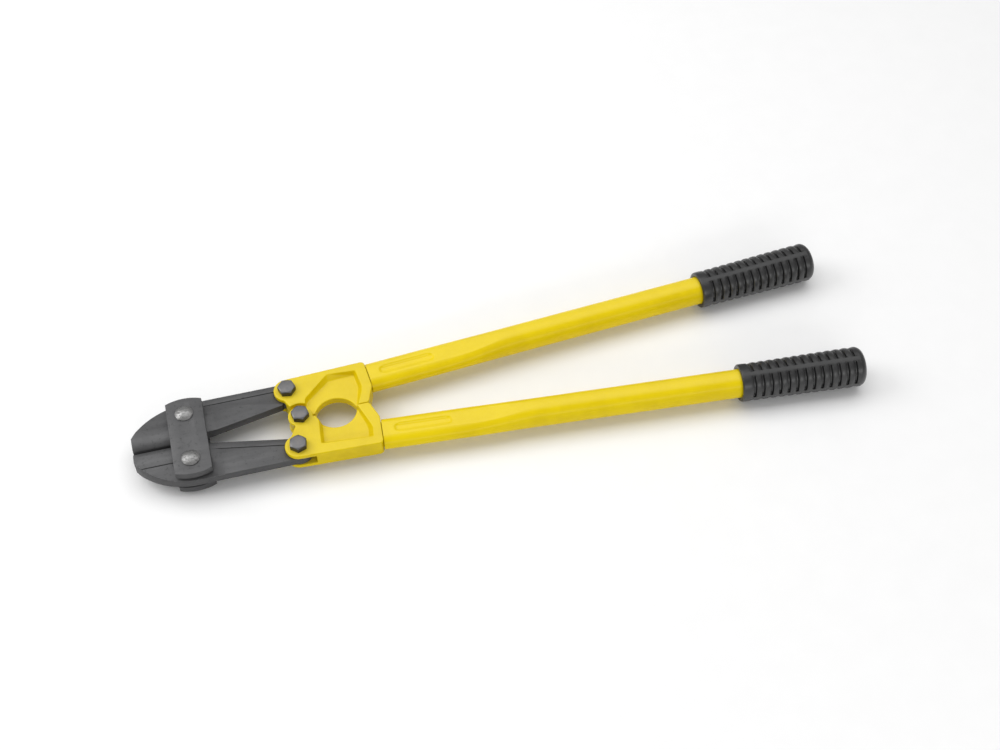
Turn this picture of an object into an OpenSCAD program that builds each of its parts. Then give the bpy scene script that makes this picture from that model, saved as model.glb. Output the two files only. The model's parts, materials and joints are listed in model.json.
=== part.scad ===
// Two-handed bolt cutters with a toggle linkage, closed and lying flat.
// +X runs from the jaws to the handles, +Z is up and XY is the plane the tool lies on.
// The origin is at the middle of the footprint, on the surface that the tool rests on.

/* [Jaws and blades] */
// Distance between the two link rivets
rivet_spacing = 44.2; // [36:0.2:54]
// From the line of the rivets to the nose of the jaws
jaw_reach = 44.7; // [37:0.1:54]
// Half width of the flat nose
nose_half = 12; // [9:0.5:15]
// Radius of the outer curve of a jaw
jaw_round = 56.8; // [48:0.2:69]
// Thickness of a blade at its hub
blade_thickness = 12.8; // [10.6:0.2:15.4]
// Thickness of a blade's arm
arm_thickness = 8.4; // [7:0.2:10]
// Length of the ramp from the hub down to the arm
ramp_length = 10; // [8:0.5:12]
// Width of the ground bevel at the cutting edge
bevel_width = 7; // [5:0.5:9]
// Distance from the cutting edge to the crease along a jaw
crease_y = 18.7; // [15:0.1:22.5]
// Width of the sloped strip along one edge of a blade arm, on each face
strip_width = 6.6; // [4:0.1:8]
// Fall of the sloped strip across its width
strip_fall = 1.1; // [0.8:0.1:1.6]
// Radius of the eye at the tail of a blade
eye_r = 10.6; // [9:0.1:12.3]

/* [Link plates] */
// Width of a link plate, along the tool
link_width = 29.2; // [24:0.2:36]
// Height of a link plate, across the tool
link_height = 74.6; // [68:0.2:90]
// Thickness of a link plate
link_thickness = 6; // [5:0.1:7.2]
// Radius of a link rivet's shank
rivet_r = 5.5; // [4.5:0.1:6.6]
// Radius of a link rivet's domed head
rivet_head_r = 7.3; // [7:0.1:8.8]
// Height of a link rivet's domed head
rivet_head_h = 3.2; // [2.6:0.1:3.9]

/* [Handle heads] */
// From the line of the rivets to the blade bolts
bolt_x = 84.2; // [76:0.2:101]
// From the middle of the tool to a blade bolt
bolt_y = 28.4; // [27:0.1:34]
// From the blade bolts to the centre pivot
pivot_step = 6.2; // [5:0.1:7.5]
// From the centre pivot to the seam between a head and its tube
head_length = 61.2; // [56:0.2:74]
// From the middle of the tool to a tube's axis at the seam
seam_y = 29.1; // [26.5:0.1:33]
// Thickness of a handle head
head_thickness = 16; // [14.6:0.2:19.2]
// Radius of the boss round a blade bolt
boss_r = 11; // [10.6:0.1:13]
// Radius of the discs round the centre pivot
disc_r = 10; // [9.6:0.1:11]
// Thickness of the web at the floor of the pockets, and of the pivot tongue
web_thickness = 6.8; // [5.6:0.1:8.2]
// Rise of the arched opening in the upper head
upper_arch = 13.6; // [11.3:0.1:16.3]
// Rise of the arched opening in the lower head
lower_arch = 15.1; // [12.5:0.1:18.1]
// Length of the faces where the closed heads meet
stop_length = 9.5; // [7:0.1:12]

/* [Handles] */
// Angle between a handle and the middle of the tool
handle_angle = 4.45; // [3.7:0.05:5.4]
// Outer diameter of a handle tube
tube_d = 23.8; // [22:0.1:28.6]
// Wall of a handle tube
tube_wall = 2; // [1.6:0.1:2.4]
// Width of the pressed flat part of a tube, at the seam
flat_width = 26.5; // [25:0.1:31.8]
// Thickness of the pressed flat part of a tube
flat_thickness = 15.6; // [14:0.1:18.7]
// Length of the pressed flat part
flat_length = 62; // [60:1:75]
// From the seam to the place where the tube is round
blend_end = 130; // [108:1:156]
// Length of the crimp that holds the tang
crimp_length = 46; // [38:1:50]
// Width of the crimp
crimp_width = 7; // [5.8:0.1:8.4]
// Depth of the crimp
crimp_depth = 0.9; // [0.5:0.1:1.1]
// From the seam to the start of the grip
grip_start = 296.7; // [200:0.1:357]
// Length of a grip
grip_length = 107.6; // [89:0.2:130]
// Radius of a grip at its front collar
grip_front_r = 15.8; // [15:0.1:16.5]
// Radius of a grip near its end
grip_end_r = 17; // [16.4:0.1:20.4]

/* [Fasteners] */
// Diameter of the pivot bolts
bolt_d = 8; // [6.6:0.1:9.6]
// Width across flats of the bolt heads and nuts
hex_flats = 13; // [11.5:0.1:15.6]
// Height of a bolt head
bolt_head_h = 5.3; // [4.4:0.1:6.4]
// Height of a thin nut
nut_h = 4; // [3.4:0.1:4.8]
// Thickness of a spring washer
washer_t = 1.6; // [1.3:0.1:2.4]
// Outer radius of a spring washer
washer_r = 7; // [6.4:0.1:8.4]
// How far a bolt's end stands past its nut
bolt_tip = 0.3; // [0.2:0.1:1.5]

/* [Motion] */
// Angle that each handle opens from closed
open_angle = 42; // [20:1:45]
// Turn of a blade for each degree that its handle opens
blade_turn = 0.167; // [0.13:0.001:0.19]

/* [Fits] */
// Radial clearance of a pin that turns in its bore
running_clearance = 0.05; // [0.02:0.01:0.1]
// Radial clearance of a pin that is held still
still_clearance = 0.02; // [0.01:0.01:0.05]
// Gap between faces that slide past each other
slide_gap = 0.2; // [0.1:0.05:0.4]
// Gap between the closed jaws, and between the closed heads
closed_gap = 0.3; // [0.2:0.05:0.5]
// Gap between a head and its tube at the seam
seam_gap = 0.4; // [0.2:0.1:0.8]

/* [Hidden] */
$fn = 96;
eps = 0.01;

// Colours
steel_grey = [0.36, 0.36, 0.37];
plate_grey = [0.39, 0.39, 0.40];
rivet_silver = [0.72, 0.72, 0.73];
gunmetal = [0.33, 0.32, 0.37];
yellow = [0.91, 0.80, 0.13];
rubber_black = [0.13, 0.13, 0.14];

// The pivots, in the tool's own frame: the rivet line is x = 0 and the mid plane is z = 0
rivet_y = rivet_spacing/2;
pivot_x = bolt_x + pivot_step;
seam_x = pivot_x + head_length;
blade_half = blade_thickness/2;
arm_half = arm_thickness/2;
head_half = head_thickness/2;
web_half = web_thickness/2;
pin_r = bolt_d/2;
edge_gap = closed_gap/2;

// The open centre pivot: how far a constant turn ratio leaves the two heads apart, one side
function link_y(t) =
    rivet_y + norm([bolt_x, bolt_y - rivet_y])
        * sin(atan2(bolt_y - rivet_y, bolt_x) - blade_turn*t);
function lever_y(t) = norm([pivot_step, bolt_y]) * sin(atan2(bolt_y, -pivot_step) + t);
open_steps = 24;
pivot_play = 2*max([for (i = [0:open_steps])
    abs(link_y(open_angle*i/open_steps) - lever_y(open_angle*i/open_steps))]);
play_margin = 0.3;

// The pivot discs, the tongue and its fork
tongue_r = disc_r - 0.7;
tongue_hole_r = pin_r + pivot_play + play_margin;
tongue_room_r = tongue_r + pivot_play + play_margin;
disc_room_r = disc_r + pivot_play + play_margin;
fork_half = arm_half - 0.2 + slide_gap;
eye_half = arm_half - 0.2;
tongue_fork_half = web_half + 0.1 + slide_gap;
eye_room_r = max(eye_r, boss_r) + 1.3;

// How high the tool lies, and where its footprint's middle is
stack_down = head_half + washer_t + nut_h + bolt_tip;
rest_height = max(grip_end_r, stack_down);
end_fillet = 9;
tool_end_x = seam_x + (grip_start + grip_length - end_fillet)*cos(handle_angle)
    + (grip_end_r - end_fillet)*sin(handle_angle) + end_fillet;
middle_x = (tool_end_x - jaw_reach)/2;

// Points along an arc, both ends included
function arc(centre, r, from, to, steps = 12) =
    [for (i = [0:steps]) let (a = from + (to - from)*i/steps) centre + r*[cos(a), sin(a)]];
// Centre of the circle through two points, lying to the right of the way from p to q
function arc_centre(p, q, r) =
    let (d = q - p, n = [d[1], -d[0]]/norm(d)) (p + q)/2 + n*sqrt(r*r - d*d/4);
function turned(p, a) = [p[0]*cos(a) - p[1]*sin(a), p[0]*sin(a) + p[1]*cos(a)];

// Frames
module place() translate([-middle_x, 0, rest_height]) children();
module lower() mirror([0, 1, 0]) children();
module both_faces() {
    children();
    mirror([0, 0, 1]) children();
}
module at_blade_bolt() translate([bolt_x, bolt_y, 0]) children();
module at_pivot() translate([pivot_x, 0, 0]) children();
module at_rivet() translate([0, rivet_y, 0]) children();
module along_handle() translate([seam_x, seam_y, 0]) rotate([0, 0, handle_angle]) children();
module slab(half) linear_extrude(height = 2*half, center = true) children();

// ---- Blades ----
shoulder = [0, 38.2];
arm_start_x = 16;
arm_outer_y = 38.2;
arm_inner_y = 4.6;
arm_outer_end = [bolt_x - 2, bolt_y + 9.9];
arm_inner_end = [bolt_x - 6, bolt_y - 11.5];
jaw_facet_drop = 2.9;
cover_x = link_width/2 - 1;
hub_end = cover_x + ramp_length;
groove_width = 0.9;
groove_depth = 0.5;

module blade_outline() {
    nose = [-jaw_reach, nose_half];
    centre = arc_centre(nose, shoulder, jaw_round);
    to_nose = nose - centre;
    to_shoulder = shoulder - centre;
    nose_angle = atan2(to_nose[1], to_nose[0]);
    shoulder_angle = atan2(to_shoulder[1], to_shoulder[0]);
    polygon(concat(
        [[-jaw_reach, edge_gap]],
        arc(centre, jaw_round, nose_angle, shoulder_angle, 16),
        [[arm_start_x, arm_outer_y], arm_outer_end, [bolt_x, bolt_y], arm_inner_end,
         [arm_start_x, arm_inner_y], [0, 1.1], [-10, edge_gap]]));
}

// Section across a jaw: the ground bevel, the flat face, the crease and the outer facet
module jaw_section() {
    half_section = [
        [edge_gap, 0], [0.17*bevel_width, 0.4*blade_half], [0.46*bevel_width, 0.77*blade_half],
        [bevel_width, blade_half], [crease_y, blade_half], [crease_y + 0.2, blade_half - 0.3],
        [shoulder[1] + 1, blade_half - jaw_facet_drop]];
    count = len(half_section);
    polygon(concat(half_section,
        [for (i = [count - 1:-1:1]) [half_section[i][0], -half_section[i][1]]]));
}

// What the arm loses above its face, with a ramp from the hub
module arm_clearance() rotate([90, 0, 0]) linear_extrude(height = 90, center = true)
    polygon([[cover_x, blade_half], [hub_end, arm_half], [bolt_x + 20, arm_half],
        [bolt_x + 20, blade_half + 1], [cover_x, blade_half + 1]]);

// A cutter whose sloped floor takes the strip off one edge of the arm, and the groove beside it
module strip_cutter(from, to, side) {
    slope = atan2(strip_fall, strip_width);
    d = to - from;
    translate([from[0], from[1], arm_half]) rotate([0, 0, atan2(d[1], d[0])]) {
        rotate([-side*slope, 0, 0])
            translate([-1, side > 0 ? 0 : -2*strip_width, 0])
                cube([norm(d) + 14, 2*strip_width, blade_half]);
        translate([-1, -groove_width/2, -groove_depth])
            cube([norm(d) + 14, groove_width, blade_half]);
    }
}

// The upper blade. Turned half round the tool's axis, the same forging is the lower one.
module blade() {
    difference() {
        union() {
            slab(blade_half) blade_outline();
            at_blade_bolt() slab(eye_half) circle(eye_r);
        }
        // outside the section of the jaw and the hub
        difference() {
            translate([-jaw_reach - 1, -1, -blade_half - 1])
                cube([jaw_reach + 1 + hub_end, shoulder[1] + 2, blade_thickness + 2]);
            rotate([90, 0, 90]) translate([0, 0, -jaw_reach - 2])
                linear_extrude(height = jaw_reach + 4 + hub_end) jaw_section();
        }
        // a die line along the crease at the back
        translate([-jaw_reach - 1, crease_y, -blade_half - 1])
            cube([jaw_reach + cover_x, 0.8*groove_width, 1 + groove_depth]);
        both_faces() arm_clearance();
        // the strip lies along the outer edge in front, and along the inner edge at the back
        strip_cutter([cover_x, arm_outer_y - strip_width], arm_outer_end - [0, strip_width], 1);
        mirror([0, 0, 1])
            strip_cutter([cover_x, arm_inner_y + strip_width], arm_inner_end + [0, strip_width], -1);
        // room for the handle head's cheeks
        both_faces() at_blade_bolt() translate([0, 0, eye_half])
            cylinder(r = boss_r + 0.8, h = blade_half);
        at_blade_bolt() slab(blade_half + 1) circle(pin_r + running_clearance);
        at_rivet() slab(blade_half + 1) circle(rivet_r + running_clearance);
    }
}
module upper_blade() color(steel_grey) place() blade();
module lower_blade() color(steel_grey) place() rotate([180, 0, 0]) blade();

// ---- Link plates and rivets ----
plate_z = blade_half + slide_gap/2;
link_shift = 0.7;

module link_plate() translate([0, 0, plate_z + link_thickness/2]) difference() {
    slab(link_thickness/2) intersection() {
        translate([link_shift, 0]) square([link_width, link_height], center = true);
        translate([link_shift, 0]) circle(link_height/2);
    }
    for (side = [-1, 1]) translate([0, side*rivet_y, 0])
        slab(link_thickness) circle(rivet_r + still_clearance);
}
module front_link_plate() color(plate_grey) place() link_plate();
module back_link_plate() color(plate_grey) place() mirror([0, 0, 1]) link_plate();

module link_rivet() at_rivet() {
    lip = 0.6;
    dome_h = rivet_head_h - lip;
    dome_r = (rivet_head_r*rivet_head_r + dome_h*dome_h)/(2*dome_h);
    face_z = plate_z + link_thickness;
    cylinder(r = rivet_r, h = 2*face_z, center = true);
    both_faces() translate([0, 0, face_z]) {
        cylinder(r = rivet_head_r, h = lip);
        intersection() {
            translate([0, 0, rivet_head_h - dome_r]) sphere(dome_r);
            translate([0, 0, lip]) cylinder(r = rivet_head_r, h = rivet_head_h);
        }
    }
}
module upper_link_rivet() color(rivet_silver) place() link_rivet();
module lower_link_rivet() color(rivet_silver) place() lower() link_rivet();

// ---- Handle heads ----
outer_corner = [seam_x, seam_y] + turned([0, flat_width/2], handle_angle);
inner_corner = [seam_x, seam_y] + turned([0, -flat_width/2], handle_angle);
stop_end = seam_x - 5.1;
stop_start = stop_end - stop_length;
arch_left = pivot_x + disc_r + 1.6;
arch_right = stop_start - 0.5;
neck_x = pivot_x - 7.3;
neck_y = 12;
corner_r = 3.6;

// The arched edge of the opening between the heads, from its right end to its left end
function arch(rise) =
    let (half = (arch_right - arch_left)/2, r = (half*half + rise*rise)/(2*rise),
        centre = [(arch_left + arch_right)/2, rise - r], low = asin((r - rise)/r))
    arc(centre, r, low, 180 - low, 18);

module head_outline(rise) {
    boss = [bolt_x, bolt_y];
    top_slope = atan2(outer_corner[1] - bolt_y - boss_r, outer_corner[0] - bolt_x);
    corner = outer_corner + turned([-corner_r, -corner_r], handle_angle);
    polygon(concat(
        [boss + boss_r*[cos(247), sin(247)], boss, boss + boss_r*[-sin(top_slope), cos(top_slope)]],
        arc(corner, corner_r, 90 + top_slope, handle_angle, 6),
        [inner_corner, [stop_end + 1.5, 3], [stop_end, edge_gap], [stop_start, edge_gap]],
        [for (p = arch(rise)) if (p[1] > 0.5) p],
        [[pivot_x, 0], [neck_x, neck_y]]));
    at_blade_bolt() circle(boss_r);
}

// The tang that the tube is pressed onto
tang_length = 58;
tang_clearance = 0.15;
module tang() along_handle() {
    w = flat_width - 2*tube_wall - 1.2;
    t = flat_thickness - 2*(tube_wall + tang_clearance) - 2*crimp_depth;
    translate([-2, 0, 0]) rotate([90, 0, 90]) linear_extrude(height = tang_length + 2)
        hull() for (s = [-1, 1]) translate([s*(w - t)/2, 0]) circle(d = t, $fn = 32);
}

// Things every head loses: the blade's fork slot and the blade bolt's hole
module blade_fork() {
    at_blade_bolt() slab(fork_half) {
        circle(eye_room_r);
        translate([-40, 0]) square([40 + eye_room_r, 40]);
    }
    at_blade_bolt() slab(head_half + 1) circle(pin_r + still_clearance);
}

// A pocket with sloped walls, from a floor outline up to a rim outline
module pocket(floor_points, rim_points) hull() {
    translate([0, 0, web_half]) linear_extrude(height = eps) polygon(floor_points);
    translate([0, 0, head_half]) linear_extrude(height = 1) polygon(rim_points);
}

module upper_head() {
    rim_top = outer_corner[1] - 6.5;
    difference() {
        union() {
            slab(head_half) head_outline(upper_arch);
            at_pivot() slab(web_half) circle(tongue_r);
            tang();
        }
        both_faces() {
            pocket(
                [[pivot_x + 6.6, -1], [pivot_x + 6.6, 14], [pivot_x + 14.6, 20.5],
                 [pivot_x + 28, rim_top - 4], [seam_x - 11.4, rim_top - 2.6], [seam_x - 10, 19.5],
                 [arch_right, -1]],
                [[pivot_x + 4, -1], [pivot_x + 7, 16.4], [pivot_x + 11.6, 20],
                 [pivot_x + 28, rim_top + 0.2], [seam_x - 9.4, rim_top - 1.4],
                 [seam_x - 7.4, 17.5], [seam_x - 8.2, 13.4], [stop_start + 0.5, -1]]);
            at_pivot() translate([0, 0, web_half]) cylinder(r = disc_room_r, h = head_half);
        }
        at_pivot() slab(head_half) circle(tongue_hole_r);
        blade_fork();
    }
}

module lower_head() lower() {
    rim_top = outer_corner[1] - 6.5;
    difference() {
        union() {
            slab(head_half) head_outline(lower_arch);
            at_pivot() slab(head_half) circle(disc_r);
            tang();
        }
        both_faces() pocket(
            [[pivot_x + 16.9, -1], [pivot_x + 16.7, 12], [pivot_x + 14.2, rim_top - 8],
             [seam_x - 11, rim_top - 4.8], [seam_x - 10.1, 24], [seam_x - 11.1, 16.5],
             [arch_right - 0.8, -1]],
            [[pivot_x + 14.8, -1], [pivot_x + 14.3, 12], [pivot_x + 11.8, rim_top - 5],
             [seam_x - 7.6, rim_top - 1.6], [seam_x - 6.4, 25], [seam_x - 8.2, 20.5],
             [arch_right, -1]]);
        at_pivot() slab(tongue_fork_half) circle(tongue_room_r);
        at_pivot() slab(head_half + 1) circle(pin_r + still_clearance);
        blade_fork();
    }
}
module upper_handle_head() color(yellow) place() upper_head();
module lower_handle_head() color(yellow) place() lower_head();

// ---- Handle tubes ----
// The blend runs a little way into the round tube, just under its surface
blend_lap = 1.5;
blend_step = 0.15;

module flat_section(inset) {
    w = flat_width - 2*inset;
    t = flat_thickness - 2*inset;
    r = min(6, t/2 - 0.5);
    hull() for (x = [-1, 1], y = [-1, 1])
        translate([x*(w/2 - r), y*(t/2 - r)]) circle(r, $fn = 32);
}
module lofted(inset, from, to) {
    hull() {
        translate([from, 0, 0]) rotate([90, 0, 90]) linear_extrude(height = flat_length - from)
            flat_section(inset);
        translate([blend_end - blend_lap, 0, 0]) rotate([0, 90, 0])
            cylinder(r = tube_d/2 - inset - blend_step, h = blend_lap, $fn = 32);
    }
    translate([blend_end - blend_lap, 0, 0]) rotate([0, 90, 0])
        cylinder(r = tube_d/2 - inset, h = to - blend_end + blend_lap);
}
plug_thickness = 6;
tube_end = grip_start + grip_length - plug_thickness - 0.5;
crimp_start = flat_length - crimp_length - 4;

module tube() along_handle() difference() {
    lofted(0, seam_gap, tube_end);
    lofted(tube_wall, -1, tube_end + 1);
    both_faces() translate([crimp_start + crimp_width/2, 0, flat_thickness/2 - crimp_depth])
        linear_extrude(height = 2) {
            circle(crimp_width/2);
            translate([0, -crimp_width/2]) square([crimp_length - crimp_width, crimp_width]);
            translate([crimp_length - crimp_width, 0]) circle(crimp_width/2);
        }
}
module upper_handle_tube() color(yellow) place() tube();
module lower_handle_tube() color(yellow) place() lower() tube();

// ---- Grips ----
collar_length = 11;
lip_r = 1.2;
module grip() along_handle() translate([grip_start, 0, 0]) rotate([0, 90, 0]) rotate_extrude() {
    bore_r = tube_d/2 + still_clearance;
    polygon(concat(
        [[bore_r, 0], [grip_front_r - lip_r, 0]],
        arc([grip_front_r - lip_r, lip_r], lip_r, -90, 0, 6),
        [[grip_front_r, collar_length]],
        arc([grip_end_r - end_fillet, grip_length - end_fillet], end_fillet, 0, 90, 12),
        [[0, grip_length], [0, grip_length - plug_thickness],
         [bore_r, grip_length - plug_thickness]]));
}
module upper_grip() color(rubber_black) place() grip();
module lower_grip() color(rubber_black) place() lower() grip();

// ---- Fasteners ----
hex_r = hex_flats/sqrt(3);

// A hexagon prism whose corners are chamfered at the free end
module hexagon(height, chamfer) intersection() {
    cylinder(r = hex_r, h = height, $fn = 6);
    rotate_extrude() polygon([[0, 0], [hex_r + 1, 0], [hex_r + 1, height - chamfer - 0.5],
        [hex_flats/2 - 0.2, height], [0, height]]);
}
module pivot_bolt() {
    translate([0, 0, -stack_down]) cylinder(r = pin_r, h = stack_down + head_half + 1);
    translate([0, 0, head_half]) hexagon(bolt_head_h, 0.4);
}
module nut() difference() {
    translate([0, 0, -head_half - washer_t]) mirror([0, 0, 1]) hexagon(nut_h, 0.4);
    slab(stack_down + 1) circle(pin_r + still_clearance);
}
module spring_washer() {
    split = 1;
    translate([0, 0, -head_half - washer_t]) difference() {
        cylinder(r = washer_r, h = washer_t);
        translate([0, 0, -1]) cylinder(r = pin_r + 0.2, h = washer_t + 2);
        translate([0, -split/2, -1]) cube([washer_r + 1, split, washer_t + 2]);
    }
}
module upper_blade_bolt() color(gunmetal) place() at_blade_bolt() pivot_bolt();
module lower_blade_bolt() color(gunmetal) place() lower() at_blade_bolt() pivot_bolt();
module centre_pivot_bolt() color(gunmetal) place() at_pivot() pivot_bolt();
module upper_blade_nut() color(gunmetal) place() at_blade_bolt() nut();
module lower_blade_nut() color(gunmetal) place() lower() at_blade_bolt() nut();
module centre_pivot_nut() color(gunmetal) place() at_pivot() nut();
module upper_spring_washer() color(gunmetal) place() at_blade_bolt() spring_washer();
module lower_spring_washer() color(gunmetal) place() lower() at_blade_bolt() spring_washer();
module centre_spring_washer() color(gunmetal) place() at_pivot() spring_washer();

upper_blade();
lower_blade();
front_link_plate();
back_link_plate();
upper_link_rivet();
lower_link_rivet();
upper_handle_head();
lower_handle_head();
upper_handle_tube();
lower_handle_tube();
upper_grip();
lower_grip();
upper_blade_bolt();
lower_blade_bolt();
centre_pivot_bolt();
upper_blade_nut();
lower_blade_nut();
centre_pivot_nut();
upper_spring_washer();
lower_spring_washer();
centre_spring_washer();
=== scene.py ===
# The looks of a pair of bolt cutters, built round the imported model's fixed frame.
# Lengths are in metres. Each handle piece is modelled along its own axis and then put in its place.
import json
import math

import bmesh
import bpy
from mathutils import Matrix, Vector


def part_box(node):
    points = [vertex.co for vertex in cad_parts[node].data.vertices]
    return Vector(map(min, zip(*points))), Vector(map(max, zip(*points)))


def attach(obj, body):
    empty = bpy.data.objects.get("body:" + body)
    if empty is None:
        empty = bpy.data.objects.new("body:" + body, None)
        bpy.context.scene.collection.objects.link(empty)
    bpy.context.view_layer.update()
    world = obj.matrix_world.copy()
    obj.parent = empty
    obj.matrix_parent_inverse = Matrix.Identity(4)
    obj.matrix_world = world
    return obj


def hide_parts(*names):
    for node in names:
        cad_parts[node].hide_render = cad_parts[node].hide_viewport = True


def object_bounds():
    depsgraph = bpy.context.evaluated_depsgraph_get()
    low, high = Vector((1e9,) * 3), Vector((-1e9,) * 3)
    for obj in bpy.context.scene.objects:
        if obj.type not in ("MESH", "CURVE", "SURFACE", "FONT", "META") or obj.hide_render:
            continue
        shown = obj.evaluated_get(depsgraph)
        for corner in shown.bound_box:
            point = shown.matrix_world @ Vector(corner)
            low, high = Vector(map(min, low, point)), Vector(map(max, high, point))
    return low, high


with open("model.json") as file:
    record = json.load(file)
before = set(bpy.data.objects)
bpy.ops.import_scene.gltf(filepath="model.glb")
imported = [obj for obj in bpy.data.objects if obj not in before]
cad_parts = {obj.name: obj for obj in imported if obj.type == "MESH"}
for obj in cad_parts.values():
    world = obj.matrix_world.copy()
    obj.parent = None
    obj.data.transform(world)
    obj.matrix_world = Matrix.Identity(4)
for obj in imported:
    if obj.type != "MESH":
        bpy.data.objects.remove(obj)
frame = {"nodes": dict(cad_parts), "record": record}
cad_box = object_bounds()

MM = 0.001
RECORD = frame["record"]
MOUNTS = {mount["name"]: mount for mount in RECORD["mounts"]}
BODY_OF = {node: body for body, nodes in RECORD["behaviour"]["bodies"].items() for node in nodes}
SIDES = ("upper", "lower")


# ---- Editing ----
def rest():
    """Leaves edit mode and deselects everything."""
    if bpy.context.object and bpy.context.object.mode == "EDIT":
        bpy.ops.object.mode_set(mode="OBJECT")
    bpy.ops.object.select_all(action="DESELECT")


def work_on(piece):
    rest()
    piece.select_set(True)
    bpy.context.view_layer.objects.active = piece


def edit(piece):
    work_on(piece)
    bpy.ops.object.mode_set(mode="EDIT")


def pick(kind, chosen):
    """In edit mode, selects only the verts, edges or faces for which chosen(element) is true."""
    modes = {"verts": "VERT", "edges": "EDGE", "faces": "FACE"}
    bpy.ops.mesh.select_mode(type=modes[kind])
    mesh = bmesh.from_edit_mesh(bpy.context.object.data)
    for element in (*mesh.verts, *mesh.edges, *mesh.faces):
        element.select = False
    for element in getattr(mesh, kind):
        if chosen(element):
            element.select_set(True)
    mesh.select_flush_mode()
    bmesh.update_edit_mesh(bpy.context.object.data)


def apply_modifier(piece, kind, **settings):
    work_on(piece)
    modifier = piece.modifiers.new(kind.lower(), kind)
    for setting, value in settings.items():
        setattr(modifier, setting, value)
    bpy.ops.object.modifier_apply(modifier=modifier.name)


def smooth(piece, angle):
    work_on(piece)
    bpy.ops.object.shade_smooth_by_angle(angle=math.radians(angle))


def point_outwards(piece):
    edit(piece)
    bpy.ops.mesh.select_all(action="SELECT")
    bpy.ops.mesh.normals_make_consistent(inside=False)
    rest()


def put(piece, place):
    """Moves a piece that was modelled at the origin to its place, and bakes that into its mesh."""
    work_on(piece)
    piece.matrix_world = place
    bpy.ops.object.transform_apply(location=True, rotation=True, scale=True)


def stand_for(piece, node, *materials):
    """The piece takes a CAD node's place and body, and gets its materials."""
    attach(piece, BODY_OF[node])
    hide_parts(node)
    piece.data.materials.clear()
    for material in materials:
        piece.data.materials.append(material)


def copy_of(node, name):
    """A copy of a CAD node's mesh, with its loose triangles joined and its flat faces whole."""
    piece = bpy.data.objects.new(name, frame["nodes"][node].data.copy())
    bpy.context.scene.collection.objects.link(piece)
    piece.data.materials.clear()
    edit(piece)
    bpy.ops.mesh.select_all(action="SELECT")
    bpy.ops.mesh.remove_doubles(threshold=2e-6)
    bpy.ops.mesh.dissolve_limited(angle_limit=math.radians(0.6))
    rest()
    return piece


def eased_copy(node, name, ease, segments=2, angle=28, edge_material=-1):
    """A copy of a CAD node with its edges eased by a small bevel."""
    piece = copy_of(node, name)
    apply_modifier(piece, "BEVEL", width=ease, segments=segments, limit_method="ANGLE",
                   angle_limit=math.radians(angle), material=edge_material,
                   use_clamp_overlap=True, miter_outer="MITER_ARC")
    smooth(piece, angle)
    return piece


def turned(name, stations, sides):
    """A closed turned piece along +Z, through stations of (distance, radius)."""
    rest()
    (start, radius), *others = stations
    bpy.ops.mesh.primitive_circle_add(vertices=sides, radius=radius, fill_type="NGON")
    piece = bpy.context.object
    piece.name = name
    edit(piece)
    bpy.ops.mesh.select_all(action="SELECT")
    bpy.ops.transform.translate(value=(0, 0, start))
    for distance, wider in others:
        bpy.ops.mesh.extrude_region_move(TRANSFORM_OT_translate={"value": (0, 0, distance - start)})
        ratio = wider/radius
        bpy.ops.transform.resize(value=(ratio, ratio, 1), center_override=(0, 0, distance))
        start, radius = distance, wider
    point_outwards(piece)
    return piece


def arc(centre, radius, start, end, steps):
    """Stations along an arc, in degrees, where 0 points outwards and 90 along the axis."""
    angles = [math.radians(start + (end - start)*i/steps) for i in range(steps + 1)]
    return [(centre[0] + radius*math.sin(a), centre[1] + radius*math.cos(a)) for a in angles]


# ---- Materials ----
class Value:
    """A socket of a finish that can be used in sums."""

    def __init__(self, finish, socket):
        self.finish = finish
        self.socket = socket

    def _sum(self, operation, first, second):
        return self.finish.node("ShaderNodeMath", {"operation": operation}, {0: first, 1: second})

    def __add__(self, other): return self._sum("ADD", self, other)
    def __radd__(self, other): return self._sum("ADD", other, self)
    def __sub__(self, other): return self._sum("SUBTRACT", self, other)
    def __rsub__(self, other): return self._sum("SUBTRACT", other, self)
    def __mul__(self, other): return self._sum("MULTIPLY", self, other)
    def __rmul__(self, other): return self._sum("MULTIPLY", other, self)


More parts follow.
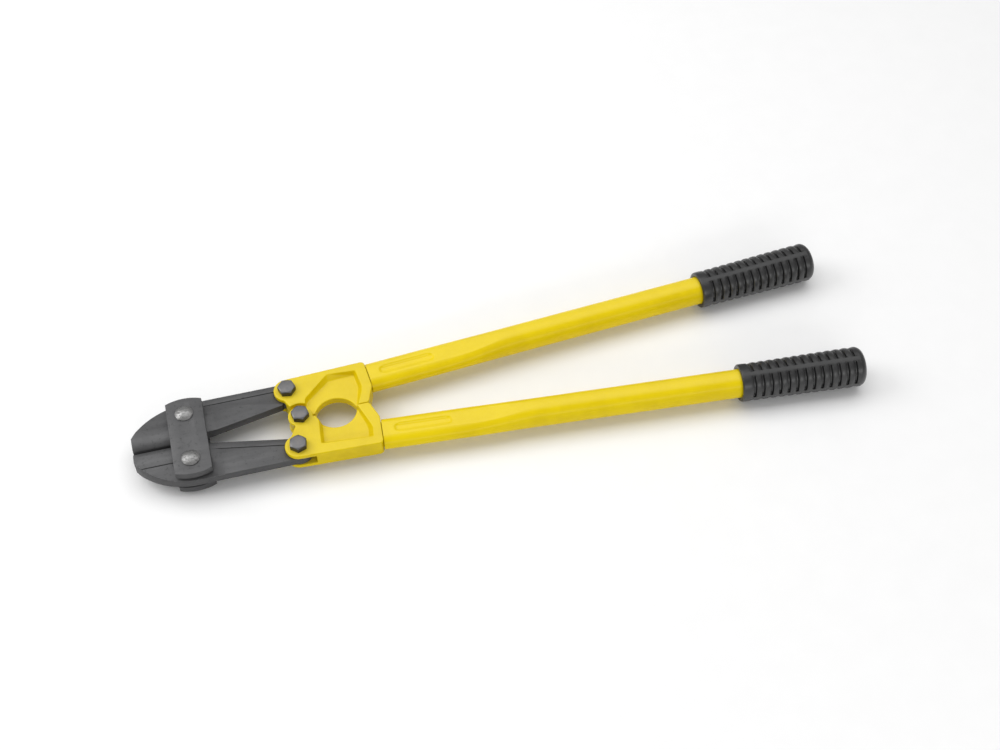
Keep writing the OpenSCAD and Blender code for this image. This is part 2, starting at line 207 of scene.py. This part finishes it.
class Finish:
    """A material on a Principled shader; uniform holds what is the same all over the surface."""

    def __init__(self, name, uniform):
        self.material = bpy.data.materials.new(name)
        self.material.use_nodes = True
        self.tree = self.material.node_tree
        self.shader = self.tree.nodes["Principled BSDF"]
        for socket, value in uniform.items():
            self.shader.inputs[socket].default_value = value
        self.place = self.node("ShaderNodeTexCoord", {}, {}, "Object")

    def node(self, kind, settings, sockets, output=0):
        made = self.tree.nodes.new(kind)
        for setting, value in settings.items():
            setattr(made, setting, value)
        for socket, value in sockets.items():
            if isinstance(value, Value):
                self.tree.links.new(value.socket, made.inputs[socket])
            else:
                made.inputs[socket].default_value = value
        return Value(self, made.outputs[output])

    def noise(self, scale, detail=2.0, roughness=0.5, stretch=(1, 1, 1)):
        where = self.node("ShaderNodeMapping", {}, {"Vector": self.place, "Scale": stretch})
        return self.node("ShaderNodeTexNoise", {}, {"Vector": where, "Scale": scale,
                         "Detail": detail, "Roughness": roughness}, "Fac")

    def step(self, value, low, high):
        """Smoothly 0 below low and 1 above high."""
        return self.node("ShaderNodeMapRange", {"interpolation_type": "SMOOTHSTEP"},
                         {"Value": value, "From Min": low, "From Max": high})

    def blend(self, factor, first, second):
        """From one colour to another."""
        first, second = ((*c, 1.0) if isinstance(c, tuple) else c for c in (first, second))
        return self.node("ShaderNodeMix", {"data_type": "RGBA"},
                         {0: factor, 6: first, 7: second}, 2)

    def lies_flat(self, low, high):
        """1 on faces that lie in the plane of the tool, front or back, and 0 on upright walls."""
        normal = self.node("ShaderNodeNewGeometry", {}, {}, "Normal")
        tilt = self.node("ShaderNodeSeparateXYZ", {}, {"Vector": normal}, "Z")
        level = self.node("ShaderNodeMath", {"operation": "ABSOLUTE"}, {0: tilt})
        return self.step(level, low, high)

    def bump(self, height, distance, strength=1.0):
        return self.node("ShaderNodeBump", {}, {"Height": height, "Distance": distance,
                         "Strength": strength}, "Normal")

    def show(self, **varying):
        """Links what varies over the surface to the shader."""
        for word, value in varying.items():
            self.tree.links.new(value.socket, self.shader.inputs[word.replace("_", " ")])
        return self.material


def yellow_paint(name, light, dark, peel_scale, peel_depth):
    """Gloss enamel: a faint orange peel, slow changes of tone, and a painted sheen that makes it
    paler where it lies flat.
    """
    paint = Finish(name, {"Coat Weight": 0.05, "Coat Roughness": 0.14, "Specular IOR Level": 0.14})
    tone = paint.noise(38.0, 3.0, 0.6)
    mottle = paint.noise(420.0, 2.0)
    colour = paint.blend(paint.step(tone, 0.35, 0.68), light, dark)
    # Painted sheen: faces that lie flat, front or back, are paled in the base colour in place of
    # the overhead light's reflection
    painted_sheen_colour = tuple(c*0.95 + 0.06 for c in light)
    colour = paint.blend(paint.lies_flat(0.86, 0.99)*(0.35 + 0.3*mottle), colour, painted_sheen_colour)
    peel = paint.noise(peel_scale, 2.0, 0.45)
    return paint.show(Base_Color=colour, Roughness=0.26 + 0.16*mottle,
                      Normal=paint.bump(peel, peel_depth, 0.6))


def dark_steel(name, light, dark, grain_depth):
    """Forged steel with a grey phosphate coat, spotted, with painted glints on its grain and
    painted shade darkening its upright walls.
    """
    steel = Finish(name, {"IOR": 1.5})
    cloud = steel.noise(60.0, 4.0, 0.6)
    grain = steel.noise(1500.0, 3.0, 0.6)
    drag = steel.noise(260.0, 2.0, 0.5, stretch=(0.12, 1, 1))
    colour = steel.blend(steel.step(cloud*0.6 + drag*0.4, 0.38, 0.62), dark, light)
    glint = tuple(1.8*c for c in light)
    colour = steel.blend(steel.step(grain, 0.60, 0.78)*0.35, colour, glint)
    spots = steel.step(steel.noise(330.0, 4.0, 0.7), 0.55, 0.70)
    colour = steel.blend(spots*0.6, colour, tuple(0.45*c for c in dark))
    # Painted shade: upright walls are darkened in the base colour
    painted_wall_shade = 1 - steel.lies_flat(0.3, 0.9)
    colour = steel.blend(painted_wall_shade*0.30, colour, tuple(0.3*c for c in dark))
    return steel.show(Base_Color=colour, Metallic=0.25 + 0.3*cloud, Roughness=0.40 + 0.24*grain,
                      Normal=steel.bump(grain, grain_depth, 0.5))


def worn_steel(name):
    """An edge where the coat has rubbed down to bright metal in places."""
    steel = Finish(name, {"IOR": 1.5})
    patches = steel.step(steel.noise(240.0, 4.0, 0.65), 0.36, 0.60)
    grain = steel.noise(1700.0, 2.0)
    colour = steel.blend(patches, (0.12, 0.12, 0.123), (0.46, 0.46, 0.45))
    return steel.show(Base_Color=colour, Metallic=0.3 + 0.5*patches, Roughness=0.36 + 0.16*grain,
                      Normal=steel.bump(grain, 0.05*MM, 0.4))


def rivet_steel():
    """Bare steel, hammered and pitted."""
    steel = Finish("rivet_steel", {})
    dents = steel.noise(330.0, 3.0, 0.6)
    pits = steel.step(steel.noise(620.0, 4.0, 0.7), 0.50, 0.72)
    colour = steel.blend(pits, (0.265, 0.263, 0.26), (0.09, 0.09, 0.09))
    return steel.show(Base_Color=colour, Metallic=0.95 - 0.2*pits,
                      Roughness=0.30 + 0.30*pits + 0.12*dents,
                      Normal=steel.bump(dents - 0.35*pits, 0.45*MM, 0.8))


def fastener_steel():
    """Dark plating with a faint blue and brown cast, with painted shade making its upright walls
    nearly black.
    """
    steel = Finish("fastener_steel", {"IOR": 1.6})
    cast = steel.step(steel.noise(170.0, 3.0, 0.6), 0.35, 0.65)
    speck = steel.noise(1400.0, 3.0, 0.6)
    colour = steel.blend(cast, (0.125, 0.127, 0.132), (0.165, 0.158, 0.156))
    # Painted shade: upright walls are blended towards near black in the base colour
    painted_wall_shade = 1 - steel.lies_flat(0.35, 0.9)
    colour = steel.blend(painted_wall_shade*0.8, colour, (0.02, 0.02, 0.021))
    colour = steel.blend(steel.step(speck, 0.6, 0.8)*0.4, colour, (0.26, 0.26, 0.26))
    return steel.show(Base_Color=colour, Metallic=0.55 + 0.2*cast, Roughness=0.24 + 0.25*speck,
                      Normal=steel.bump(speck, 0.06*MM, 0.4))


def grip_rubber():
    """Moulded black rubber with a very fine grain, and a soft sheen on its sides."""
    rubber = Finish("grip_rubber", {"IOR": 1.5, "Specular IOR Level": 0.6, "Coat Roughness": 0.3})
    cloud = rubber.noise(55.0, 3.0, 0.6)
    grain = rubber.noise(1300.0, 3.0, 0.65)
    dust = rubber.step(rubber.noise(500.0, 4.0, 0.7), 0.58, 0.80)
    colour = rubber.blend(rubber.step(cloud, 0.35, 0.65),
                          (0.008, 0.008, 0.0084), (0.013, 0.013, 0.0134))
    colour = rubber.blend(dust*0.25, colour, (0.06, 0.06, 0.059))
    sheen = (1 - rubber.lies_flat(0.55, 0.95))*0.35
    return rubber.show(Base_Color=colour, Roughness=0.32 + 0.18*grain, Coat_Weight=sheen,
                       Normal=rubber.bump(grain, 0.10*MM, 0.5))


CAST_PAINT = yellow_paint("cast_paint", (0.74, 0.56, 0.001), (0.65, 0.48, 0.0008),
                          700.0, 0.14*MM)
TUBE_PAINT = yellow_paint("tube_paint", (0.79, 0.60, 0.001), (0.73, 0.545, 0.0008),
                          900.0, 0.05*MM)
BLADE_STEEL = dark_steel("blade_steel", (0.098, 0.098, 0.100), (0.080, 0.080, 0.082), 0.10*MM)
PLATE_STEEL = dark_steel("plate_steel", (0.098, 0.098, 0.100), (0.084, 0.084, 0.086), 0.07*MM)
# Painted shade for the floors of the die lines: a near-black copy of the blade steel
DIE_LINE_SHADE = dark_steel("die_scale", (0.020, 0.020, 0.021), (0.012, 0.012, 0.013), 0.10*MM)
WORN_EDGE = worn_steel("worn_edge")
RIVET_STEEL = rivet_steel()
FASTENER_STEEL = fastener_steel()
GRIP_RUBBER = grip_rubber()


# ---- Handle frames ----
def handle_place(side):
    """The frame of a handle: Z along it from its tube's start, Y up and X across."""
    mount = MOUNTS[f"{side}_grip_hold"]
    along = Vector(mount["axis"]).normalized()
    up = Vector((0, 0, 1))
    across = up.cross(along)
    tube = frame["nodes"][f"{side}_handle_tube"].data
    tube_start = min(along.dot(v.co) for v in tube.vertices)
    grip_middle = Vector(mount["pos_m"])
    place = Matrix((across, up, along)).transposed().to_4x4()
    place.translation = grip_middle + along*(tube_start - along.dot(grip_middle))
    return place


PLACE = {side: handle_place(side) for side in SIDES}


def reach(node, side):
    """Where a node starts and ends along its handle."""
    back = PLACE[side].inverted()
    along = [(back @ v.co).z for v in frame["nodes"][node].data.vertices]
    return min(along), max(along)


# ---- Blades and link plates ----
ARM_HALF = 4.2*MM
DIE_LINE_DEPTH = 0.5*MM
JAW_EDGE_Y = 10*MM
CREASE_Y = 19*MM
CREASE_MARGIN = 1.5*MM
PLATE_EASE = 0.8*MM
RIVET_SHANK_R = 5.5*MM
RIVET_LIP = 0.6*MM


def blade(side):
    """A forging, rubbed bright along the edge of its jaw, with painted shade on the floors of its
    die lines.
    """
    node = f"{side}_blade"
    piece = eased_copy(node, f"{node}_forging", 0.18*MM, 2, 30)
    stand_for(piece, node, BLADE_STEEL, WORN_EDGE, DIE_LINE_SHADE)
    hub_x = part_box("front_link_plate")[1].x
    low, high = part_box(node)
    line_floors = (ARM_HALF - DIE_LINE_DEPTH, (high.z - low.z)/2 - DIE_LINE_DEPTH)

    # The die lines' floors get the painted shade material
    def in_die_line(face):
        height = abs(face.calc_center_median().z - (low.z + high.z)/2)
        return (abs(face.normal.z) > 0.99 and
                any(abs(height - line) < 0.08*MM for line in line_floors))

    def worn(face):
        where = face.calc_center_median()
        off_crease = abs(abs(where.y) - CREASE_Y) > CREASE_MARGIN
        return (where.x < hub_x and abs(where.y) > JAW_EDGE_Y and
                0.25 < face.normal.z < 0.97 and off_crease)
    edit(piece)
    for slot, chosen in enumerate((worn, in_die_line), start=1):
        pick("faces", chosen)
        piece.active_material_index = slot
        bpy.ops.object.material_slot_assign()
    rest()


def link_plate(face):
    """A flat plate whose rounded edges are rubbed bright."""
    node = f"{face}_link_plate"
    piece = eased_copy(node, f"{node}_worn", PLATE_EASE, 3, 30, edge_material=1)
    stand_for(piece, node, PLATE_STEEL, WORN_EDGE)


def link_rivet(side):
    """Two domed heads with a little undercut, hammered over a straight shank."""
    low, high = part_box(f"{side}_link_rivet")
    plate_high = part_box("front_link_plate")[1]
    centre = (low + high)/2
    head_r = (high.x - low.x)/2
    half = (high.z - low.z)/2
    under = plate_high.z - centre.z
    dome = half - under - RIVET_LIP
    dome_r = (head_r**2 + dome**2)/(2*dome)
    spread = math.degrees(math.asin(head_r/dome_r))
    cap = arc((half - dome_r, 0), dome_r, 90 - spread, 87, 9)
    head = [(under, head_r - 0.9*MM), (under + 0.35*MM, head_r - 0.1*MM),
            (under + RIVET_LIP, head_r), *cap[1:]]
    other_head = [(-z, r) for z, r in reversed(head)]
    shank = [(-under, RIVET_SHANK_R), (under, RIVET_SHANK_R)]
    piece = turned(f"{side}_rivet_domed", [*other_head, *shank, *head], 56)
    smooth(piece, 50)
    put(piece, Matrix.Translation(centre))
    stand_for(piece, f"{side}_link_rivet", RIVET_STEEL)


# ---- Handle heads ----
TANG_LEFT = 8*MM
CASTING_VOXEL = 0.42*MM


def handle_head(side):
    """A casting: the CAD shape with its tang cut short inside the tube, then softened all over."""
    piece = copy_of(f"{side}_handle_head", f"{side}_head_casting")
    place = PLACE[side]
    edit(piece)
    bpy.ops.mesh.select_all(action="SELECT")
    bpy.ops.mesh.bisect(plane_co=place @ Vector((0, 0, TANG_LEFT)), plane_no=place.col[2].xyz,
                        use_fill=True, clear_outer=True)
    rest()
    apply_modifier(piece, "REMESH", mode="VOXEL", voxel_size=CASTING_VOXEL,
                   use_smooth_shade=True)
    apply_modifier(piece, "SMOOTH", factor=0.5, iterations=12)
    smooth(piece, 60)
    stand_for(piece, f"{side}_handle_head", CAST_PAINT)


# ---- Handle tubes ----
FLAT_LENGTH = 62*MM
BLEND_END = 132*MM
FLAT_HALF_WIDTH = 13.6*MM
FLAT_HALF_HEIGHT = 7.8*MM
PRESSED_RISE = 8.8*MM
CRIMP_START = 9.3*MM
CRIMP_LENGTH = 47.5*MM
CRIMP_HALF_WIDTH = 4.1*MM
# Share of the crimp's half width, and how many millimetres deeper it is within that
CRIMP_STEPS = ((1.0, 0.25), (0.86, 0.45), (0.70, 0.40), (0.52, 0.22), (0.30, 0.10))
CRIMP_RING, CRIMP_RINGS = 0.8*MM, 78
BLEND_RING, BLEND_RINGS = 3.5*MM, 20
ROUND_RINGS = (160*MM, 220*MM)
TUBE_WALL = 2*MM
BORE_DEPTH = 10.3*MM
TUBE_SIDES = 144


def ease(t):
    t = min(max(t, 0.0), 1.0)
    return t*t*(3 - 2*t)


def handle_tube(side):
    """A drawn tube, pressed flat next to the head and crimped over the tang."""
    node = f"{side}_handle_tube"
    start, end = reach(node, side)
    radius = (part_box(node)[1].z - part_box(node)[0].z)/2
    pressed = [start + i*CRIMP_RING for i in range(CRIMP_RINGS)]
    blending = [pressed[-1] + i*BLEND_RING for i in range(1, BLEND_RINGS + 1)]
    outer = [(z, radius) for z in (*pressed, *blending, *ROUND_RINGS, end)]
    inner = [(start + BORE_DEPTH, radius - TUBE_WALL), (start, radius - TUBE_WALL)]
    piece = turned(f"{side}_tube_drawn", [*inner, *outer], TUBE_SIDES)
    edit(piece)
    for z in (inner[0][0], *pressed, *blending):
        round_off = ease((z - FLAT_LENGTH)/(BLEND_END - FLAT_LENGTH))
        wide = FLAT_HALF_WIDTH + (radius - FLAT_HALF_WIDTH)*round_off
        rise = PRESSED_RISE + (radius - PRESSED_RISE)*round_off
        top = FLAT_HALF_HEIGHT + (radius - FLAT_HALF_HEIGHT)*round_off**1.6
        pick("verts", lambda v: abs(v.co.z - z) < 1e-5)
        bpy.ops.transform.resize(value=(wide/radius, rise/radius, 1), center_override=(0, 0, z))
        for sign in (1, -1):
            pick("verts", lambda v: abs(v.co.z - z) < 1e-5 and sign*v.co.y > top)
            bpy.ops.transform.resize(value=(1, 0, 1), center_override=(0, sign*top, z))
    ends = (CRIMP_START + CRIMP_HALF_WIDTH, CRIMP_START + CRIMP_LENGTH - CRIMP_HALF_WIDTH)
    for sign in (1, -1):
        for share, depth in CRIMP_STEPS:
            def in_crimp(v):
                nearest = min(max(v.co.z, ends[0]), ends[1])
                aside = math.hypot(v.co.x, v.co.z - nearest)
                return sign*v.co.y > FLAT_HALF_HEIGHT/2 and aside < share*CRIMP_HALF_WIDTH
            pick("verts", in_crimp)
            bpy.ops.transform.translate(value=(0, -sign*depth*MM, 0))
    rest()
    smooth(piece, 40)
    put(piece, PLACE[side])
    stand_for(piece, node, TUBE_PAINT)


# ---- Grips ----
ROWS = 4
SLOT_COUNT = 13
SLOT_PITCH = 7.2*MM
SLOT_WIDTH = 2.6*MM
SLOT_DEPTH = 2.0*MM
FIRST_SLOT = 8.8*MM
SHOULDER = 0.6*MM
BAND_ANGLE = 78.75
GRIP_SIDES = 96
BAND_FACES = 4
END_ROUNDING = 6*MM
END_CROWN = 1.05*MM
COLLAR_R = 15.8*MM
GRIP_BORE_R = 11.95*MM
# Each slot's sides sink by this, and the shoulders next to them by less, so that the ribs swell
SLOT_SINK = 0.65*MM
SHOULDER_SINK = 0.15*MM


def grip(side):
    """A closed grip with rows of slots between pillowed ribs, parted by plain bands along it."""
    node = f"{side}_grip"
    start, end = reach(node, side)
    low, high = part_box(node)
    end_r = (high.z - low.z)/2 - 0.2*MM
    face_z = end - END_CROWN
    crown_z = face_z - END_ROUNDING
    slots = [start + FIRST_SLOT + i*SLOT_PITCH for i in range(SLOT_COUNT)]

    def radius_at(z):
        return COLLAR_R + (end_r - COLLAR_R)*ease((z - start)/(crown_z - start))
    rings = []
    for z in slots:
        rings += [z - SHOULDER, z, z + SLOT_WIDTH, z + SLOT_WIDTH + SHOULDER,
                  z + (SLOT_WIDTH + SLOT_PITCH)/2]
    rings = rings[:-2]
    collar = [(start + 3*MM, GRIP_BORE_R), (start, GRIP_BORE_R), (start, COLLAR_R - 1.3*MM),
              (start + 0.4*MM, COLLAR_R - 0.4*MM), (start + 1.3*MM, COLLAR_R),
              (start + 5*MM, COLLAR_R)]
    crown = arc((crown_z, end_r - END_ROUNDING), END_ROUNDING, 0, 90, 8)
    tip = [(face_z + 0.45*MM, 6*MM), (face_z + 0.75*MM, 1*MM)]
    stations = [*collar, *((z, radius_at(z)) for z in rings), *crown, *tip]
    piece = turned(f"{side}_grip_ribbed", stations, GRIP_SIDES)

    def from_band(where):
        """Degrees from the middle of the nearest band."""
        quarter = 360/ROWS
        angle = math.degrees(math.atan2(where.y, -where.x)) - BAND_ANGLE
        return abs((angle + quarter/2) % quarter - quarter/2)
    band_edge = BAND_FACES*360/GRIP_SIDES/2
    edit(piece)
    for z in slots:
        for ring, sink in ((z, SLOT_SINK), (z + SLOT_WIDTH, SLOT_SINK),
                           (z - SHOULDER, SHOULDER_SINK),
                           (z + SLOT_WIDTH + SHOULDER, SHOULDER_SINK)):
            pick("verts", lambda v: abs(v.co.z - ring) < 1e-5 and from_band(v.co) > band_edge + 2)
            shrink = 1 - sink/COLLAR_R
            bpy.ops.transform.resize(value=(shrink, shrink, 1), center_override=(0, 0, ring))
    pick("faces", lambda f: from_band(f.calc_center_median()) > band_edge and
         any(z < f.calc_center_median().z < z + SLOT_WIDTH for z in slots))
    bpy.ops.mesh.inset(thickness=0.2*MM, depth=-0.25*MM, use_boundary=True,
                       use_even_offset=True)
    bpy.ops.mesh.extrude_region_shrink_fatten(
        TRANSFORM_OT_shrink_fatten={"value": -SLOT_DEPTH})
    rest()
    apply_modifier(piece, "SUBSURF", levels=1, render_levels=1)
    smooth(piece, 45)
    put(piece, PLACE[side])
    stand_for(piece, node, GRIP_RUBBER)


# ---- Fasteners ----
HEX_TURN = {"upper_blade_bolt": -10, "centre_pivot_bolt": 41, "lower_blade_bolt": 20}
CONE_R = 12*MM
CHAMFER_TOP_R = 5.75*MM
CHAMFER_FALL = 3.6*MM
BACK_EASE = 0.15*MM


def pivot_bolt(node):
    """A hexagon bolt, its corners chamfered by a cone, left at the angle where it was tightened."""
    piece = copy_of(node, f"{node}_plated")
    low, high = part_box(node)
    centre = (low + high)/2
    cone = turned("chamfer", [(low.z - 5*MM, CONE_R), (high.z - CHAMFER_FALL, CONE_R),
                              (high.z, CHAMFER_TOP_R)], 96)
    put(cone, Matrix.Translation((centre.x, centre.y, 0)))
    apply_modifier(piece, "BOOLEAN", operation="INTERSECT", object=cone, solver="EXACT")
    bpy.data.objects.remove(cone)
    apply_modifier(piece, "BEVEL", width=0.16*MM, segments=2, limit_method="ANGLE",
                   angle_limit=math.radians(20), use_clamp_overlap=True)
    smooth(piece, 28)
    about = Matrix.Translation(centre)
    put(piece, about @ Matrix.Rotation(math.radians(HEX_TURN[node]), 4, "Z") @ about.inverted())
    stand_for(piece, node, FASTENER_STEEL)


def back_fastener(node):
    """A nut or a spring washer on the back."""
    piece = eased_copy(node, f"{node}_plated", BACK_EASE, 2, 25)
    stand_for(piece, node, FASTENER_STEEL)


for side in SIDES:
    blade(side)
    link_rivet(side)
    handle_head(side)
    handle_tube(side)
    grip(side)
for face in ("front", "back"):
    link_plate(face)
for node in BODY_OF:
    if node.endswith("_bolt"):
        pivot_bolt(node)
    elif node.endswith(("_nut", "_washer")):
        back_fastener(node)


# ---- Floor, light and camera ----
FLOOR_SIZE = 9.0
SKY_STRENGTH = 0.46
LENS, SENSOR_WIDTH = 51.89, 36
AZIMUTH, ELEVATION = math.radians(-14.451), math.radians(52.853)
DISTANCE = 1.1994
AIM_X, AIM_Y = 0.00317, 0.00557


def floor():
    rest()
    bpy.ops.mesh.primitive_plane_add(size=FLOOR_SIZE)
    sheet = bpy.context.object
    sheet.name = "floor"
    paper = Finish("floor_paper", {"Roughness": 0.9, "Specular IOR Level": 0.1})
    fleck = paper.noise(40.0, 3.0)
    sheet.data.materials.append(
        paper.show(Base_Color=paper.blend(fleck, (0.90, 0.90, 0.90), (0.93, 0.93, 0.93))))


def soft_light(name, size, power, where, towards):
    light = bpy.data.lights.new(name, "AREA")
    light.shape = "RECTANGLE"
    light.size, light.size_y = size
    light.energy = power
    lamp = bpy.data.objects.new(name, light)
    bpy.context.scene.collection.objects.link(lamp)
    lamp.location = where
    aim = Vector(towards) - Vector(where)
    lamp.rotation_euler = aim.to_track_quat("-Z", "Y").to_euler()


def studio():
    world = bpy.data.worlds.new("studio")
    bpy.context.scene.world = world
    world.use_nodes = True
    sky = world.node_tree.nodes["Background"]
    sky.inputs["Color"].default_value = (1, 1, 1, 1)
    sky.inputs["Strength"].default_value = SKY_STRENGTH
    soft_light("overhead", (2.2, 1.4), 15, (0.2, 0.45, 1.6), (0.1, 0, 0))
    soft_light("left_key", (1.2, 1.0), 13, (-1.3, 0.6, 1.1), (-0.1, 0, 0))
    soft_light("front_fill", (1.3, 0.22), 4, (0.15, -1.25, 0.62), (0.1, 0, 0))
    bpy.context.scene.view_settings.view_transform = "Standard"


def camera():
    """A 52 mm lens, 1.2 m from the tool, looking down at 53 degrees from a little to the left."""
    lens = bpy.data.cameras.new("camera")
    lens.sensor_width = SENSOR_WIDTH
    lens.lens = LENS
    lens.clip_start = 0.05
    eye = bpy.data.objects.new("camera", lens)
    bpy.context.scene.collection.objects.link(eye)
    low, high = cad_box
    target = Vector((AIM_X, AIM_Y, (low.z + high.z)/2))
    back = Vector((math.sin(AZIMUTH)*math.cos(ELEVATION), -math.cos(AZIMUTH)*math.cos(ELEVATION),
                   math.sin(ELEVATION)))
    eye.location = target + back*DISTANCE
    eye.rotation_euler = (math.pi/2 - ELEVATION, 0, AZIMUTH)
    bpy.context.scene.camera = eye


floor()
studio()
camera()
rest()
